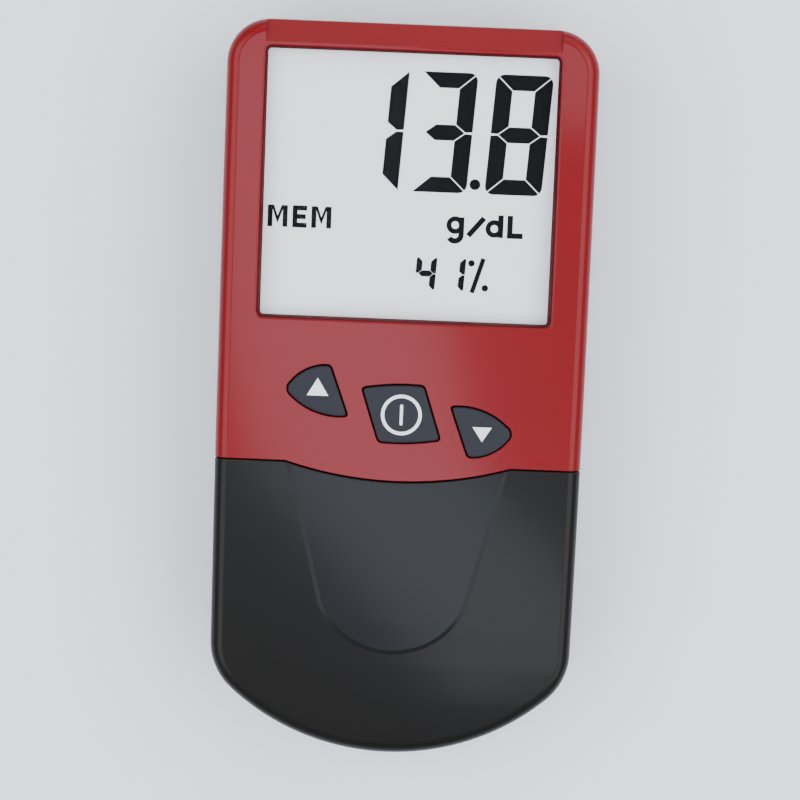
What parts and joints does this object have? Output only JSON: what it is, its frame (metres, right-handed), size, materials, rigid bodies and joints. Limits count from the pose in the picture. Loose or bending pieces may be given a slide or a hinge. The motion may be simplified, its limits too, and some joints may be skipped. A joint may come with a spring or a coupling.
{
  "type": "hemoglobin analyzer",
  "caption": "Handheld hemoglobin analyzer: two-tone clamshell with a round lower end, large display window, slanted soft keys, sliding strip tray, battery door and plug-in lot chip.",
  "frame": {"origin": "under the middle of the body, in the plane of the feet that it lies on", "axes": "+Z out of the display, +Y along the body towards the display end, +X to the right when the display is read"},
  "size_m": [0.0653, 0.131, 0.0254],
  "materials": {
    "red_shell": "glossy moulded, saturated red",
    "black_shell": "fine-grained satin black",
    "clear_lens": "clear polished window",
    "lcd_cell": "pale grey display cell",
    "foam": "matte foam",
    "reflector": "bright diffuse film",
    "white_frame": "matte moulded",
    "connector_rubber": "striped elastomer",
    "key_rubber": "soft-touch dark slate",
    "mat_rubber": "matte silicone",
    "circuit_board": "solder mask over fibreglass",
    "chip_black": "moulded epoxy",
    "can_metal": "drawn metal can",
    "screw_steel": "zinc plated",
    "contact_metal": "nickel plated spring sheet",
    "cell_wrap": "wrapped steel can",
    "tray_plastic": "satin black moulded",
    "reference_white": "matte white",
    "optics_black": "light-absorbing matte",
    "optics_glass": "clear",
    "led_body": "clear epoxy",
    "sensor_body": "dark epoxy",
    "foot_rubber": "matte"
  },
  "bodies": {
    "housing": {"front_housing": "red_shell", "lower_front_cover": "black_shell", "rear_housing": "black_shell", "display_lens": "clear_lens", "housing_screws": "screw_steel", "rubber_feet": "foot_rubber", "lcd_glass": "lcd_cell", "display_gasket": "foam", "lcd_reflector": "reflector", "lcd_holder": "white_frame", "lcd_connector": "connector_rubber", "keypad_mat": "mat_rubber", "key_spring_up": "mat_rubber", "key_spring_power": "mat_rubber", "key_spring_down": "mat_rubber", "main_board": "circuit_board", "processor_chip": "chip_black", "board_chips": "chip_black", "crystal": "can_metal", "buzzer": "chip_black", "usb_port": "can_metal", "chip_socket": "white_frame", "board_screws": "screw_steel", "battery_1": "cell_wrap", "battery_2": "cell_wrap", "battery_3": "cell_wrap", "battery_plus_contacts": "contact_metal", "battery_minus_contacts": "contact_metal", "optics_block": "optics_black", "optics_window": "optics_glass", "optics_board": "circuit_board", "optics_leds": "led_body", "photodiode": "sensor_body", "optics_header": "chip_black", "optics_screws": "screw_steel", "tray_switch": "chip_black"},
    "key_up_body": {"key_up": "key_rubber"},
    "key_power_body": {"key_power": "key_rubber"},
    "key_down_body": {"key_down": "key_rubber"},
    "tray": {"strip_tray": "tray_plastic", "reference_pad": "reference_white"},
    "door": {"battery_door": "black_shell"},
    "lot_chip": {"code_chip": "tray_plastic"}
  },
  "joints": [
    {"name": "key_up_press", "type": "slide", "parent": "housing", "child": "key_up_body", "axis": [0, 0, -1], "range_m": [0, 0.0006], "stiffness_N_per_m": 2500, "deforming": ["key_spring_up"]},
    {"name": "key_power_press", "type": "slide", "parent": "housing", "child": "key_power_body", "axis": [0, 0, -1], "range_m": [0, 0.0006], "stiffness_N_per_m": 2500, "deforming": ["key_spring_power"]},
    {"name": "key_down_press", "type": "slide", "parent": "housing", "child": "key_down_body", "axis": [0, 0, -1], "range_m": [0, 0.0006], "stiffness_N_per_m": 2500, "deforming": ["key_spring_down"]},
    {"name": "tray_slide", "type": "slide", "parent": "housing", "child": "tray", "axis": [0, -1, 0], "range_m": [0, 0.038]},
    {"name": "door_slide", "type": "slide", "parent": "housing", "child": "door", "axis": [0, 1, 0], "range_m": [0, 0.058]},
    {"name": "chip_slide", "type": "slide", "parent": "housing", "child": "lot_chip", "axis": [1, 0, 0], "range_m": [0, 0.015]}
  ]
}
